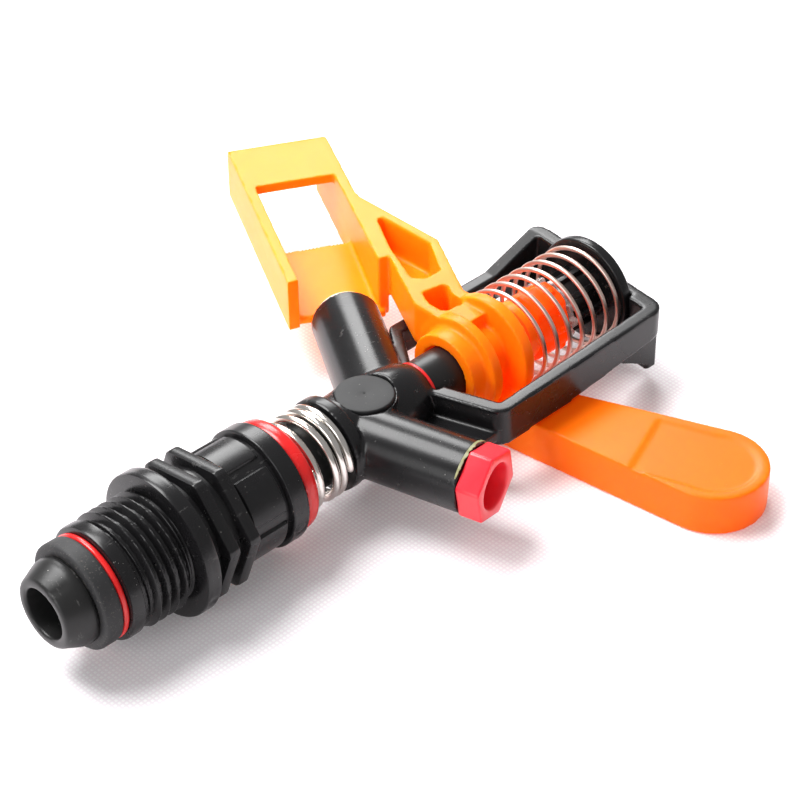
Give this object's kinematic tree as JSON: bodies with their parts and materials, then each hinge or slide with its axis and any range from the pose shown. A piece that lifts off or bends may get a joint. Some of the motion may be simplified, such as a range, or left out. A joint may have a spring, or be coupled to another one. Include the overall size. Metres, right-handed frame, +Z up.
{
  "type": "impact sprinkler",
  "caption": "Plastic impact sprinkler: threaded swivel sleeve, two-nozzle head with a bridge frame, and a sprung swinging arm with a box spoon and counterweight.",
  "frame": {"origin": "on the stem axis, at the flange face that seats on the riser", "axes": "+X along the stem from the inlet to the bridge's end wall; +Z up, square to the bridge; the part lies on its side"},
  "size_m": [0.1322, 0.13, 0.026],
  "materials": {
    "black_plastic": "satin moulded black",
    "black_rubber": "matt rubber",
    "red_plastic": "glossy red washers",
    "red_nozzle": "bright glossy red",
    "ivory_plastic": "ivory, glossy",
    "orange_plastic": "glossy orange",
    "clear_plastic": "pale clear plastic",
    "spring_steel": "bright drawn wire",
    "pin_steel": "plain stainless pin"
  },
  "bodies": {
    "sleeve": {"threaded_sleeve": "black_plastic", "bearing_ring": "black_plastic", "upper_thrust_washer": "red_plastic"},
    "head": {"stem_tube": "black_plastic", "nose_seal": "black_rubber", "lower_thrust_washer": "red_plastic", "swivel_spring": "spring_steel", "head_body": "black_plastic", "bridge_frame": "black_plastic", "hub_plug": "black_plastic", "front_nozzle": "ivory_plastic", "flow_straightener": "black_plastic", "rear_nozzle": "red_nozzle", "neck_washer": "red_plastic", "pin_spacer": "black_plastic", "arm_pin": "pin_steel", "spring_cap": "black_plastic", "toothed_ring": "clear_plastic"},
    "arm": {"arm": "orange_plastic", "arm_bush": "black_plastic", "arm_spring": "spring_steel"}
  },
  "joints": [
    {"name": "head_swivel", "type": "hinge", "parent": "sleeve", "child": "head", "pos_m": [0, 0, 0], "axis": [1, 0, 0], "continuous": true},
    {"name": "arm_swing", "type": "hinge", "parent": "head", "child": "arm", "pos_m": [0.07, 0, 0], "axis": [1, 0, 0], "range_deg": [0, 100], "stiffness_Nm_per_rad": 0.012, "springref_deg": -17.19}
  ]
}
